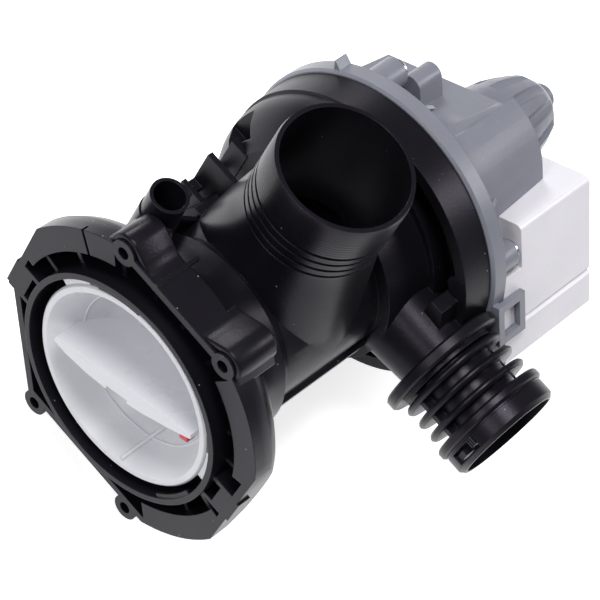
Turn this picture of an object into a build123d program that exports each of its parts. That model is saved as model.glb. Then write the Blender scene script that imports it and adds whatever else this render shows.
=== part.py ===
from build123d import *

import math
import os

# Washer drain pump, 1 unit = 1 mm.
# X runs out of the outlet, Y runs from the filter mouth back to the motor, Z runs up the inlet.
# Places along Y are drawn from the filter ring's front edge. The saved pieces are set back so that
# the origin is the centre of the screw bosses' front plane. Filter, chamber and rotor lie round Y.

os.makedirs("parts", exist_ok=True)

# Fits and clearances
SEAT = 0.02
RUN = 0.04
LOOSE = 0.3
WALL = 1.8
OVER = 1.0
FAR = 200.0
TIP_SHARE = 0.6
WEDGE_STEP = 40.0

# Filter ring and bell flange
RING_R = 39.0
RING_WALL = 2.0
MOUTH_R = RING_R - RING_WALL
MOUTH_DEPTH = 9.0
SEAL_STEP = 1.8
SEAL_R = MOUTH_R - SEAL_STEP
SEAL_END = 20.0
THROAT_STEP = 3.7
THROAT_R = SEAL_R - THROAT_STEP
THROAT_END = 36.0
STEP_RUN = 2.0
BELL_FRONT = 3.0
BELL_REACH = 13.8
BELL_R = RING_R + BELL_REACH
BELL_WALL = 2.5
BELL_STEPS = ((13.8, 3.0), (13.5, 10.0), (11.4, 14.0), (8.2, 17.2), (3.6, 19.4), (-0.4, 21.4),
              (-3.2, 24.5), (-5.0, 30.0), (-5.4, 36.6), (-9.0, 41.5))
CHANNEL_STEPS = ((11.3, 3.0), (11.0, 9.4), (9.1, 12.8), (6.4, 15.3), (2.6, 17.0), (0.4, 17.8))
BELL_PROFILE = [(RING_R + step, y) for step, y in BELL_STEPS]
CHANNEL_PROFILE = [(RING_R + step, y) for step, y in CHANNEL_STEPS]
BOSS_X = 21.5
BOSS_OUT = 7.5
BOSS_Z = RING_R + BOSS_OUT
TOP_OVER_BOSS, BOTTOM_IN_BOSS = 1.5, 1.9
BELL_TOP = BOSS_Z + TOP_OVER_BOSS
BELL_BOTTOM = BOTTOM_IN_BOSS - BOSS_Z
SIDE_REACH, CHORD_REACH = 9.8, 6.0
BELL_SIDE = RING_R + SIDE_REACH
BELL_CHORD, BELL_CHORD_ANGLE = RING_R + CHORD_REACH, 212.0
BOSS_R = 4.3
BOSS_LENGTH = 15.5
BOSS_HOLE_R = 2.0
BOSS_HOLE_DEPTH = 13.0
CHANNEL_AT_LIP = 5.4
LIP_R = RING_R + CHANNEL_AT_LIP
LIP_DEPTH = 6.0
LIPS = ((16.0, 60.0), (119.0, 173.0), (-56.0, -11.0))
LIP_SLIT_ANGLE, LIP_SLIT, LIP_SLIT_DEPTH = 133.0, 1.0, 2.2
HOSE_ROOM = 2.0
CHANNEL_RIB = 1.6
CHANNEL_RIB_ANGLES = (15, 32, 48, 66, 84, 101, 119, 146, 168, 205, 222, 240, 262, 284, 308, 326, 341)
CHANNEL_RIB_FRONT = 6.5
PAD_LEFT, PAD_RIGHT = (-10.5, 1.0), (-6.0, 4.0)
PAD_IN_REACH, PAD_OUT_REACH = 3.0, 10.6
PAD_IN, PAD_OUT = RING_R + PAD_IN_REACH, RING_R + PAD_OUT_REACH
PAD_FRONT, PAD_DEPTH, PAD_RIB = 3.0, 5.0, 8.5
LUG_GAP = 0.5
LUG_OUT = MOUTH_R - LUG_GAP
LEDGE_OVERLAP = 0.9
LEDGE_R = LUG_OUT - LEDGE_OVERLAP
LEDGE_FRONT, LEDGE_BACK = 0.4, 1.4
LEDGE_SPAN = 26.0
LUG_ANGLES = (148.0, 8.0)
TURN_TO_LOCK = 34.0

# Main tube
TUBE_STEP = 3.9
TUBE_BORE = THROAT_R - TUBE_STEP
TUBE_WALL = 2.4
TUBE_R = TUBE_BORE + TUBE_WALL
TUBE_END = 83.0
PARTING_REACH = 1.4
PARTING_R = TUBE_R + PARTING_REACH
PARTING_THICK = 1.6
PARTING_Z = -5.0
PARTING_FROM = 40.0
EYE_R = 14.0
EYE_WALL = 3.0
EYE_WALL_FRONT, EYE_WALL_BACK = TUBE_END, TUBE_END + EYE_WALL

# Inlet spigot
INLET_Y = 62.0
INLET_R = 22.0
INLET_WALL = 1.8
INLET_BORE = INLET_R - INLET_WALL
INLET_TOP = 73.0
INLET_RIM_STEP, INLET_BEVEL = 0.4, 2.0
INLET_RIM_R = INLET_R - INLET_RIM_STEP
INLET_BORE_LOW = 11.0
INLET_FOOT_FLARE = 7.6
INLET_FOOT_R = INLET_R + INLET_FOOT_FLARE
INLET_FOOT_LOW, INLET_FOOT_TOP = 5.0, 46.0
GROOVE_DEPTH = 0.45
GROOVE_WIDTH = 1.1
GROOVE_TOPS = (58.5, 55.2, 51.9, 48.6)

# Nipple, hooks and bracket beside the tube
NIPPLE_X, NIPPLE_Y = -26.0, 22.2
NIPPLE_R = 6.0
NIPPLE_WALL = 1.1
NIPPLE_BORE = NIPPLE_R - NIPPLE_WALL
NIPPLE_TOP = 55.0
NIPPLE_ROOT = 12.0
NIPPLE_FOOT_STEP, NIPPLE_FOOT_TOP = 0.4, 46.0
NIPPLE_FOOT_R = NIPPLE_R + NIPPLE_FOOT_STEP
NIPPLE_BORE_LOW = 17.0
SADDLE = (-34.0, -22.0, 52.0, 66.0, 6.0, 17.0)
SADDLE_HEIGHT = 3.4
SADDLE_R = TUBE_R + SADDLE_HEIGHT
HOOKS = ((-37.6, -25.0, 61.2, 63.2, 12.0, 27.5), (-37.6, -33.6, 56.0, 63.2, 12.0, 14.2),
         (-38.6, -30.0, 56.4, 58.2, 6.0, 15.0))
BRACKET = ((-41.0, -34.0, 81.6, 84.4, -3.0, 13.2), (-41.0, -38.4, 74.0, 84.4, -3.0, -0.8),
           (-41.0, -26.0, 74.0, 76.2, -3.0, -0.8))
SHOULDER_NOTCH = (-47.0, -34.0, 84.4, 93.0, 4.0, 17.5)
OUTLET_LUG = (37.0, 46.0, 92.4, 103.0, 12.0, 20.0)
TOP_RIDGE_X, TOP_RIDGE_HALF, TOP_RIDGE_END = -8.0, 0.6, 20.0

# Volute and chamber
HOUSING_BACK = 111.0
HOUSING_RIM_R = 50.0
VOLUTE_STEPS = ((20.0, 82.0), (12.5, 82.0), (9.0, 84.2), (5.3, 88.0), (2.8, 92.0), (1.6, 95.5),
                (1.3, 99.7), (0.5, 100.0), (0.0, 111.0))
VOLUTE_PROFILE = [(HOUSING_RIM_R - step, y) for step, y in VOLUTE_STEPS]
CHAMBER_R = 31.0
CHAMBER_WALL = 3.5
CHAMBER_WALL_R = CHAMBER_R + CHAMBER_WALL
RIM_FRONT = 100.0
RIM_WIDE = 4.6
RIM_IN = HOUSING_RIM_R - RIM_WIDE
GASKET_LAND = 2.3
POCKET_IN = CHAMBER_WALL_R + GASKET_LAND
POCKET_FLOOR = 107.5
POCKET_FROM, POCKET_TO = -78.0, 84.0
GASKET_OUT = 5.7
GASKET_R = CHAMBER_R + GASKET_OUT
GASKET_CORD, GASKET_SIDES = 0.78, 6
GASKET_GROOVE_HALF = 0.8
GASKET_GROOVE_DEPTH = 1.6
SCREW_INSET = 4.0
SCREW_CIRCLE_R = HOUSING_RIM_R - SCREW_INSET
SCREW_ANGLES = (0, 90, 180, 270)
POST_R = 3.9

# Outlet spigot
OUTLET_Y = 95.3
OUTLET_BORE = 11.3
OUTLET_WALL, ROOT_END_WALL, ROOT_WALL = 1.6, 2.1, 3.3
ROOT_R, ROOT_END_R = OUTLET_BORE + ROOT_WALL, OUTLET_BORE + ROOT_END_WALL
CORE_R = OUTLET_BORE + OUTLET_WALL
RIB_HEIGHT = 5.8
RIB_R = CORE_R + RIB_HEIGHT
RIB_HALF = 1.1
RIB_XS = (56.3, 61.6, 66.9)
FIRST_RIB_MORE = 2.5
FIRST_RIB_R = RIB_R + FIRST_RIB_MORE
FIRST_RIB_X, FIRST_RIB_END = 48.6, 52.6
FIRST_STEP_R, FIRST_STEP_END = 16.8, 54.0
COLLAR_X = 71.0
COLLAR_BORE_MORE, COLLAR_WALL, COLLAR_LIP_HEIGHT = 5.3, 2.2, 1.1
COLLAR_BORE = OUTLET_BORE + COLLAR_BORE_MORE
COLLAR_R = COLLAR_BORE + COLLAR_WALL
COLLAR_LIP_R, COLLAR_LIP_END = COLLAR_R + COLLAR_LIP_HEIGHT, 74.2
COLLAR_FLOOR = 73.0
OUTLET_END = 81.3
COLLAR_GROOVE_DEPTH, COLLAR_GROOVE_END = 0.5, 75.0
COLLAR_GROOVE_R = COLLAR_R - COLLAR_GROOVE_DEPTH
MOUTH_BEVEL = 1.4
OUTLET_BORE_START = 22.0
WEB_REACH = 16.4
WEB_THICK = 1.8
WINDOW_X, WINDOW_LENGTH = 75.6, 3.9
WINDOW_LOW, WINDOW_HIGH = -3.0, 8.5
CATCH = (76.5, 78.6, 77.5, 81.2, -3.5, 1.5)
TOOTH_COUNT, TOOTH_Z, TOOTH_PITCH = 3, 5.2, 1.2
TOOTH_FACES = (75.1, 78.2, 78.1, 80.7)

# Filter: cap, seal, strainer and mark
CAP_GAP, CAP_SEAL_GAP, CAP_NOSE_GAP = 3.0, 2.0, 0.9
CAP_FRONT, CAP_RIM_R, CAP_RIM_BACK = 2.0, MOUTH_R - CAP_GAP, 5.2
CAP_WALL_R, CAP_BEVEL = SEAL_R - CAP_SEAL_GAP, 0.6
CAP_NOSE_R, CAP_NOSE_FRONT, CAP_BACK = THROAT_R - CAP_NOSE_GAP, 21.0, 27.0
BOWL_STEPS = ((2.4, 2.0), (3.4, 3.6), (8.3, 12.0), (12.5, 18.2), (19.5, 22.0))
BOWL_FLOOR = 23.4
BOWL_PROFILE = [*[(CAP_RIM_R - step, y) for step, y in BOWL_STEPS], (0, BOWL_FLOOR)]
SEAL_GROOVE_FRONT, SEAL_GROOVE_BACK, SEAL_GROOVE_DEPTH = 12.1, 15.5, 1.2
SEAL_GROOVE_R = CAP_WALL_R - SEAL_GROOVE_DEPTH
SEAL_CORD, SEAL_SIDES = 1.56, 12
SEAL_MID_Y = 13.8
SEAL_MID_R = SEAL_R - SEAL_CORD - 2 * SEAT
BLADE_ANGLE = 22.5
BLADE_OUTLINE = ((-26.5, 1.4), (-22.0, -0.4), (-13.0, -2.3), (0.0, -3.2), (10.0, -2.4), (20.0, -0.8),
                 (29.6, 1.4), (29.6, 3.0), (-26.5, 3.0))
BLADE_FRONT = 0.3
NOTCH_FROM, NOTCH_TO, NOTCH_LOW, NOTCH_HIGH, NOTCH_DEPTH = -4.6, 3.8, -5.0, -1.6, 2.6
LUG_FRONT, LUG_BACK, LUG_SPAN = 2.8, 7.2, 20.0
FLOOR_RIB_FROM, FLOOR_RIB_TO, FLOOR_RIB_HALF, FLOOR_RIB_FRONT = -31.0, -3.0, 0.5, 16.5
FLOOR_RIB_S = 5.0
MARK = (24.4, 27.6, 1.2, 4.4, -2.2, 0.9)
STRAINER_GAP, SOCKET_RING, SOCKET_GAP, BASKET_WALL = 0.6, 1.6, 0.1, 2.1
COLLAR_BACK, COLLAR_OUT = 31.0, TUBE_BORE - STRAINER_GAP
COLLAR_IN = COLLAR_OUT - SOCKET_RING
BASKET_R = COLLAR_IN - SOCKET_GAP
BASKET_IN = BASKET_R - BASKET_WALL
BASKET_FRONT, BASKET_BACK = CAP_BACK + SOCKET_GAP, 72.0
BASKET_RING, BASKET_END = 6.0, 2.4
BASKET_BARS, BASKET_SLOT = 12, 4.6
BASKET_HOLE_R, BASKET_HOLES_RADIUS = 3.0, 13.0

# Motor frame: the stator parts are turned round the Y axis by this angle
MOTOR_TURN = 32.0
FLANGE_OVERHANG = 1.3
FLANGE_R = HOUSING_RIM_R + FLANGE_OVERHANG
FLANGE_BEVEL = 0.8
FLANGE_THICK = 3.6
FLANGE_BACK = HOUSING_BACK + FLANGE_THICK
RIM_LIP_WIDE, RIM_LIP_HIGH = 2.3, 2.4
RIM_LIP_IN, RIM_LIP_BACK = FLANGE_R - RIM_LIP_WIDE, FLANGE_BACK + RIM_LIP_HIGH
PLUG_GAP = 0.1
PLUG_R = CHAMBER_R - PLUG_GAP
PLUG_DEPTH = 2.5
PLUG_FRONT = HOUSING_BACK - PLUG_DEPTH
CAN_BORE, CAN_WALL = 13.8, 1.4
CAN_R = CAN_BORE + CAN_WALL
CAN_STEP = 166.0
CAN_NECK_BORE, CAN_NECK_WALL = 8.0, 1.6
CAN_NECK_R = CAN_NECK_BORE + CAN_NECK_WALL
CAN_NECK_START = 170.5
CAN_END, CAN_END_WALL = 183.5, 185.0
MOTOR_BOSS_R = 5.0
MOTOR_BOSS_BACKS = (123.6, 127.0, 127.0, 127.0)
SCREW_R, SCREW_HOLE_R, SCREW_PILOT_R = 1.75, 2.1, 1.79
SCREW_HEAD_R, SCREW_HEAD, SCREW_SLOT, SCREW_SLOT_DEPTH = 3.7, 2.2, 0.9, 1.2
SCREW_TIP = 102.8
GUSSET_ANGLES = (133.6, 97.8, 55.9)
GUSSET_IN_STEP, GUSSET_OUT_STEP, GUSSET_BACK, GUSSET_HALF = 4.1, 0.5, 122.6, 0.8
GUSSET_IN, GUSSET_OUT = FLANGE_R - GUSSET_IN_STEP, FLANGE_R - GUSSET_OUT_STEP
TOOTH_ANGLE, TOOTH_HEIGHT, TOOTH_HALF = 133.6, 3.3, 1.6
TOOTH_TIP_R = FLANGE_R + TOOTH_HEIGHT
LOOP_REACH, LOOP_THICK, LOOP_ROOT = 0.9, 2.0, 9.2
LOOP_OUTSIDE = FLANGE_R + LOOP_REACH
LOOP_INSIDE = LOOP_OUTSIDE - LOOP_THICK
LOOP_LOW, LOOP_HIGH = -27.4, -12.6
LOOP_TAB = (LOOP_OUTSIDE - LOOP_ROOT, LOOP_OUTSIDE, 112.0, FLANGE_BACK, LOOP_LOW, LOOP_HIGH)
LOOP_OUT = (LOOP_INSIDE, LOOP_OUTSIDE, 113.0, 124.6, LOOP_LOW, LOOP_HIGH)
LOOP_WINDOW = (LOOP_INSIDE - OVER, LOOP_OUTSIDE + OVER, FLANGE_BACK, 122.0, -24.8, -15.2)

# Front bearing plate, seals and bearings
PLATE_R = CAN_BORE - RUN
PLATE_STEP_R, PLATE_STEP_BACK, PLATE_BACK = 16.0, 110.2, 117.5
SEAL_POCKET_R, SEAL_POCKET_BACK = 5.05, 112.0
SHAFT_SEAL_FRONT = 109.2
SHAFT_R = 2.0
SHAFT_FRONT, SHAFT_BACK = 91.6, 181.4
BUSH_R = 4.2
FRONT_BUSH, REAR_BUSH = (112.3, 117.4), (173.2, 180.4)
MOUNT_R, MOUNT_FRONT, MOUNT_BACK = 7.94, 172.6, 180.8
WASHERS = ((118.2, 119.0), (171.0, 171.8))
WASHER_R = 3.8

# Rotor and impeller
JACKET_R, JACKET_WALL, JACKET_HUB_R = 13.0, 0.8, 5.0
JACKET_FRONT, JACKET_BACK = 121.0, 160.0
MAGNET_FRONT, MAGNET_BACK = 123.0, 159.2
DOG_R, DOG_REACH, DOG_SPAN = 4.0, 7.0, 50.0
HALF_TURN = 180.0
DOG_FRONT, DOG_BACK = 97.2, 105.6
IMPELLER_HUB_R, IMPELLER_CAVITY_R = 9.2, 7.3
IMPELLER_FRONT, IMPELLER_CAVITY_FRONT, IMPELLER_BACK = 92.0, 96.4, 106.6
VANE_R, VANE_THICK, VANE_FRONT, VANE_COUNT = 26.0, 2.0, 93.0, 6
SHROUD_FRONT = 104.8

# Stator core, coil, shell and rear cap, in the turned motor frame
CORE_FRONT, CORE_LENGTH = 132.6, 17.8
CORE_BACK = CORE_FRONT + CORE_LENGTH
CORE_OUTLINE = ((-21.9, 29.4), (27.0, 29.4), (31.5, 27.8), (35.9, 20.0), (36.9, 15.0), (36.9, -29.4),
                (-21.9, -29.4))
CORE_BORE_R = 15.6
CORE_WINDOW = (18.6, 28.0, -20.0, 9.8)
CORE_SLOT_RIGHT, CORE_SLOT_LEFT = 5.0, 2.4
BOBBIN_INNER = (27.7, 37.2, CORE_FRONT - LOOSE, CORE_BACK + LOOSE)
BOBBIN_WALL, BOBBIN_FLANGE = 1.2, 1.4
COIL_FRONT, COIL_BACK = 5.5, 7.5
BOBBIN_FLANGE_BOX = (20.4, 44.6, CORE_FRONT - COIL_FRONT, CORE_BACK + COIL_BACK)
WINDING_FRONT, WINDING_BACK = 4.6, 6.6
BOBBIN_LOW, BOBBIN_HIGH = -19.6, 7.5
WINDING_BOX = (21.4, 43.6, CORE_FRONT - WINDING_FRONT, CORE_BACK + WINDING_BACK)
WINDING_ROUND = 3.0
COVER_FRONT_GAP, COVER_BACK_ROOM = 0.4, 9.6
COVER_BOX = (18.6, 49.8, RIM_LIP_BACK + COVER_FRONT_GAP, CORE_BACK + COVER_BACK_ROOM, -40.0, 9.6)
RECESS_BACK = 6.4
COVER_RECESS = (40.6, CORE_FRONT - RECESS_BACK, -6.0)
COVER_LINING = 0.8
COVER_WALL, COVER_ROUND = 1.7, 2.2
VALLEY_Z, VALLEY_HALF, VALLEY_DEPTH = -26.3, 2.6, 1.0
TERMINAL_BACK, SOCKET_HALF = 9.9, 7.0
TERMINAL_Y = CORE_FRONT + TERMINAL_BACK
SOCKET_BOX = (25.0, 44.5, TERMINAL_Y - SOCKET_HALF, TERMINAL_Y + SOCKET_HALF, -33.6)
SOCKET_WALL = 1.2
TERMINAL_XS = (30.0, 39.6)
TERMINAL_HALF, TERMINAL_WIDTH, TERMINAL_LOW, TERMINAL_HIGH = 0.4, 6.3, -39.4, -32.8
SHELL_GAP, SHELL_SHORT = 0.5, 0.2
SHELL_FRONT, SHELL_BACK, SHELL_TAPER = FLANGE_BACK + SHELL_GAP, CORE_BACK - SHELL_SHORT, 5.0
SHELL_LOBE_MID, SHELL_LOBE_R, SHELL_LOBE_FROM, SHELL_LOBE_STEPS = (15.0, 15.0), 27.0, 68.0, 9
SHELL_OUTLINE = ((42.0, -34.4), (-27.0, -34.4), (-27.0, 34.4), (24.0, 34.4))
SHELL_WALL = 1.7
WEB_GAP, WEB_THICKNESS, CAN_HOLE_GAP = 0.4, 2.0, 0.4
SHELL_WEB_BACK = CORE_FRONT - WEB_GAP
SHELL_WEB_FRONT, SHELL_CAN_HOLE = SHELL_WEB_BACK - WEB_THICKNESS, CAN_R + CAN_HOLE_GAP
TOWER = (-1.8, 6.2, 131.0, 141.5, 29.0, 39.0)
TOWER_X, TOWER_Z, TOWER_R = 2.2, 39.0, 4.0
REAR_CAP_PROFILE = ((16.9, 164.5), (16.9, 170.5), (15.9, 177.5), (13.9, 184.5), (11.8, 189.8), (8.6, 193.4),
                    (4.7, 194.6), (4.7, 198.4), (4.0, 199.2), (0.0, 199.2))
REAR_CAP_BORE = ((0.0, 186.0), (9.9, 186.0), (9.9, 171.0), (15.3, 166.3), (15.3, 164.5))
FLUTE_COUNT, FLUTE_R, FLUTE_CIRCLE, FLUTE_FROM, FLUTE_TO, FLUTE_TILT = 12, 2.2, 17.6, 173.0, 197.0, 15.0


def disc(radius, front, back, x=0.0, z=0.0):
    """A round bar along Y from front to back."""
    return extrude(Plane.XZ.offset(-back) * (Pos(x, z) * Circle(radius)), back - front)


def slab(sketch, front, back):
    """A sketch in X and Z drawn through from front to back along Y."""
    return extrude(Plane.XZ.offset(-back) * sketch, back - front)


def block(x0, x1, y0, y1, z0, z1):
    """A plain block by its six faces."""
    return Pos((x0 + x1) / 2, (y0 + y1) / 2, (z0 + z1) / 2) * Box(x1 - x0, y1 - y0, z1 - z0)


def turned(points, axis=Axis.Y):
    """A closed profile in the XY plane turned once round an axis."""
    return revolve(make_face(Polyline(*points, close=True)), axis, 360)


def tube(outer, inner, front, back, x=0.0, z=0.0):
    """A round tube along Y."""
    return disc(outer, front, back, x, z) - disc(inner, front - OVER, back + OVER, x, z)


def polar(radius, angle):
    """A point in X and Z at an angle from the outlet side."""
    return radius * math.cos(math.radians(angle)), radius * math.sin(math.radians(angle))


def wedge(reach, start, stop, front, back):
    """A sector of a disc along Y between two angles."""
    steps = max(2, math.ceil(abs(stop - start) / WEDGE_STEP))
    rim = [polar(reach, start + (stop - start) * k / steps) for k in range(steps + 1)]
    return slab(make_face(Polyline((0, 0), *rim, close=True)), front, back)


def around_y(shape, angle):
    """Turns a shape round Y so that +X goes toward +Z."""
    return Rot(0, -angle, 0) * shape


def save(name, shape):
    """Writes one node's file, with the bosses' front plane at zero."""
    shape = Pos(0, -BELL_FRONT, 0) * shape
    shape.label = name
    export_step(shape, os.path.join("parts", name + ".step"))


# Pump housing: the one black moulding
def flattened(shape, inset):
    """Cuts the bell's four straight sides and its low corner, all moved in by an inset."""
    side = BELL_SIDE - inset
    shape = shape & block(-side, side, 0, TUBE_END, BELL_BOTTOM + inset, BELL_TOP - inset)
    return shape - around_y(block(BELL_CHORD - inset, FAR, 0, TUBE_END, -FAR, FAR), BELL_CHORD_ANGLE)


def bell():
    """The flange's bell: a shallow turned pan with straight sides and three flat lips in front."""
    inside = 0.0
    outer = turned(((inside, BELL_FRONT), *BELL_PROFILE, (inside, BELL_PROFILE[-1][1])))
    outer = flattened(outer, 0)
    channel = turned(((RING_R, BELL_FRONT), *CHANNEL_PROFILE, (RING_R, CHANNEL_PROFILE[-1][1])))
    channel = flattened(channel, BELL_WALL)
    for start, stop in LIPS:
        lip = wedge(FAR, start, stop, BELL_FRONT, BELL_FRONT + LIP_DEPTH)
        channel = channel - (lip - disc(LIP_R, 0, TUBE_END))
    slit = block(LIP_R - OVER, FAR, BELL_FRONT - OVER, BELL_FRONT + LIP_SLIT_DEPTH, -LIP_SLIT / 2, LIP_SLIT / 2)
    shell = outer - channel - around_y(slit, LIP_SLIT_ANGLE)
    return shell + disc(RING_R, 0, BELL_FRONT + OVER)


def channel_ribs():
    """Radial ribs between the ring and the bell's wall."""
    root = RING_R - OVER
    outer = turned(((root, CHANNEL_RIB_FRONT), (BELL_R - OVER, CHANNEL_RIB_FRONT),
                    *[(r - OVER, y) for r, y in BELL_PROFILE[1:5]], (root, BELL_PROFILE[4][1])))
    outer = flattened(outer, OVER)
    ribs = []
    for angle in CHANNEL_RIB_ANGLES:
        bar = around_y(block(root, BELL_R, 0, TUBE_END, -CHANNEL_RIB / 2, CHANNEL_RIB / 2), angle)
        ribs.append(outer & bar)
    return ribs


def pads():
    """The two face pads at the sides of the flange."""
    made = []
    for side, (bottom, top) in ((-1, PAD_LEFT), (1, PAD_RIGHT)):
        x0, x1 = sorted((side * PAD_IN, side * PAD_OUT))
        made.append(block(x0, x1, PAD_FRONT, PAD_FRONT + PAD_DEPTH, bottom, top))
        for z in (bottom, top):
            x0, x1 = sorted((side * (RING_R - OVER), side * (PAD_OUT - OVER)))
            low, high = z - CHANNEL_RIB / 2, z + CHANNEL_RIB / 2
            made.append(block(x0, x1, PAD_FRONT, PAD_FRONT + PAD_RIB, low, high))
    return made


def inlet():
    """The large spigot on its flared foot, with four ring grooves."""
    points = [(0, INLET_FOOT_LOW), (INLET_FOOT_R, INLET_FOOT_LOW), (INLET_R, INLET_FOOT_TOP)]
    for top in reversed(GROOVE_TOPS):
        low = top - GROOVE_WIDTH
        floor = INLET_R - GROOVE_DEPTH
        points += [(INLET_R, low), (floor, low), (floor, top), (INLET_R, top)]
    points += [(INLET_R, INLET_TOP - INLET_BEVEL), (INLET_RIM_R, INLET_TOP), (0, INLET_TOP)]
    face = make_face(Polyline(*points, close=True))
    return Pos(0, INLET_Y, 0) * revolve(Plane.XZ * face, Axis.Z, 360)


def outlet():
    """The ribbed spigot: root, wide first rib, three round-tipped ribs and the collar."""
    tip = RIB_HALF * TIP_SHARE
    points = [(CHAMBER_R, 0), (CHAMBER_R, ROOT_R), (FIRST_RIB_X, ROOT_END_R),
              (FIRST_RIB_X, FIRST_RIB_R - tip), (FIRST_RIB_X + tip, FIRST_RIB_R),
              (FIRST_RIB_END - tip, FIRST_RIB_R), (FIRST_RIB_END, FIRST_RIB_R - tip),
              (FIRST_RIB_END, FIRST_STEP_R), (FIRST_STEP_END, FIRST_STEP_R), (FIRST_STEP_END, CORE_R)]
    for x in RIB_XS:
        points += [(x - RIB_HALF, CORE_R), (x - RIB_HALF, RIB_R - tip), (x - tip / 2, RIB_R),
                   (x + tip / 2, RIB_R), (x + RIB_HALF, RIB_R - tip), (x + RIB_HALF, CORE_R)]
    points += [(COLLAR_X, CORE_R), (COLLAR_X, COLLAR_LIP_R - tip), (COLLAR_X + tip, COLLAR_LIP_R),
               (COLLAR_LIP_END - tip, COLLAR_LIP_R), (COLLAR_LIP_END, COLLAR_LIP_R - tip),
               (COLLAR_LIP_END, COLLAR_GROOVE_R), (COLLAR_GROOVE_END, COLLAR_GROOVE_R),
               (COLLAR_GROOVE_END, COLLAR_R), (OUTLET_END - MOUTH_BEVEL, COLLAR_R),
               (OUTLET_END, COLLAR_R - MOUTH_BEVEL), (OUTLET_END, 0)]
    spigot = Pos(0, OUTLET_Y, 0) * turned(points, Axis.X)
    webs = block(FIRST_RIB_END, COLLAR_X + OVER, OUTLET_Y - WEB_REACH, OUTLET_Y + WEB_REACH,
                 -WEB_THICK / 2, WEB_THICK / 2)
    return spigot + webs


def volute():
    """The chamber's body: a rounded shoulder on the filter side, cut back to a rim on the outlet side."""
    body = turned(((0, VOLUTE_PROFILE[0][1]), *VOLUTE_PROFILE, (0, HOUSING_BACK)))
    cut = wedge(FAR, POCKET_FROM, POCKET_TO, 0, RIM_FRONT) - disc(CHAMBER_WALL_R, 0, HOUSING_BACK)
    pocket = wedge(FAR, POCKET_FROM, POCKET_TO, RIM_FRONT - OVER, POCKET_FLOOR)
    pocket = pocket & tube(RIM_IN, POCKET_IN, RIM_FRONT - OVER, POCKET_FLOOR)
    body = body - cut - pocket
    for angle in (MOTOR_TURN, MOTOR_TURN - 90):
        x, z = polar(SCREW_CIRCLE_R, angle)
        body = body + (disc(POST_R, RIM_FRONT, HOUSING_BACK, x, z) & disc(RIM_IN + OVER, 0, HOUSING_BACK))
    return body


def side_fittings():
    """Nipple, two saddle hooks, the bracket on the volute's shoulder and the lug by the outlet's root."""
    nipple = turned(((0, NIPPLE_ROOT), (NIPPLE_FOOT_R, NIPPLE_ROOT), (NIPPLE_FOOT_R, NIPPLE_FOOT_TOP),
                     (NIPPLE_R, NIPPLE_FOOT_TOP), (NIPPLE_R, NIPPLE_TOP), (0, NIPPLE_TOP)))
    return [
        Pos(NIPPLE_X, NIPPLE_Y, 0) * (Rot(90, 0, 0) * nipple),
        block(*SADDLE) & disc(SADDLE_R, 0, TUBE_END),
        *[block(*hook) for hook in HOOKS],
        *[block(*bar) for bar in BRACKET],
        block(*OUTLET_LUG) & disc(RIM_IN + OVER, 0, HOUSING_BACK),
        block(TOP_RIDGE_X - TOP_RIDGE_HALF, TOP_RIDGE_X + TOP_RIDGE_HALF, BELL_FRONT, TOP_RIDGE_END,
              BELL_TOP - OVER, BELL_TOP + TOP_RIDGE_HALF),
    ]


def bores():
    """Everything hollow in the housing, front to back."""
    filter_bore = turned(((0, -OVER), (MOUTH_R, -OVER), (MOUTH_R, MOUTH_DEPTH),
                          (SEAL_R, MOUTH_DEPTH + STEP_RUN), (SEAL_R, SEAL_END),
                          (THROAT_R, SEAL_END + STEP_RUN), (THROAT_R, THROAT_END),
                          (TUBE_BORE, THROAT_END + STEP_RUN), (TUBE_BORE, EYE_WALL_FRONT),
                          (0, EYE_WALL_FRONT)))
    chamber = disc(CHAMBER_R, EYE_WALL_BACK, HOUSING_BACK + OVER)
    eye = disc(EYE_R, EYE_WALL_FRONT - OVER, EYE_WALL_BACK + OVER)
    length = INLET_TOP + OVER - INLET_BORE_LOW
    inlet_bore = Pos(0, INLET_Y, INLET_BORE_LOW + length / 2) * Cylinder(INLET_BORE, length)
    mouth = ((OUTLET_BORE_START, 0), (OUTLET_BORE_START, OUTLET_BORE), (COLLAR_FLOOR, OUTLET_BORE),
             (COLLAR_FLOOR, COLLAR_BORE), (OUTLET_END + OVER, COLLAR_BORE), (OUTLET_END + OVER, 0))
    outlet_bore = Pos(0, OUTLET_Y, 0) * turned(mouth, Axis.X)
    length = NIPPLE_TOP + OVER - NIPPLE_BORE_LOW
    nipple_bore = Pos(NIPPLE_X, NIPPLE_Y, NIPPLE_BORE_LOW + length / 2) * Cylinder(NIPPLE_BORE, length)
    groove = tube(GASKET_R + GASKET_GROOVE_HALF, GASKET_R - GASKET_GROOVE_HALF,
                  HOUSING_BACK - GASKET_GROOVE_DEPTH, HOUSING_BACK + OVER)
    window = block(WINDOW_X, WINDOW_X + WINDOW_LENGTH, OUTLET_Y - COLLAR_R - OVER,
                   OUTLET_Y - COLLAR_BORE / 2, WINDOW_LOW, WINDOW_HIGH)
    cuts = [filter_bore, chamber, eye, inlet_bore, outlet_bore, nipple_bore, groove, window]
    for x in (-BOSS_X, BOSS_X):
        for z in (-BOSS_Z, BOSS_Z):
            cuts.append(disc(BOSS_HOLE_R, BELL_FRONT - OVER, BELL_FRONT + BOSS_HOLE_DEPTH, x, z))
    for angle in SCREW_ANGLES:
        x, z = polar(SCREW_CIRCLE_R, MOTOR_TURN + angle)
        cuts.append(disc(SCREW_PILOT_R, SCREW_TIP - LOOSE, HOUSING_BACK + OVER, x, z))
    cuts.append(block(*SHOULDER_NOTCH))
    cuts.append(block(CHAMBER_R, FIRST_STEP_END, HOUSING_BACK, FAR, -RING_R, RING_R))
    x0, x1, y0, y1, z0, z1 = LOOP_TAB
    notch = block(x0 - LOOSE, x1 + LOOSE, y0 - LOOSE, FAR, z0 - LOOSE, z1 + LOOSE)
    cuts.append(around_y(notch, MOTOR_TURN))
    return cuts


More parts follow.
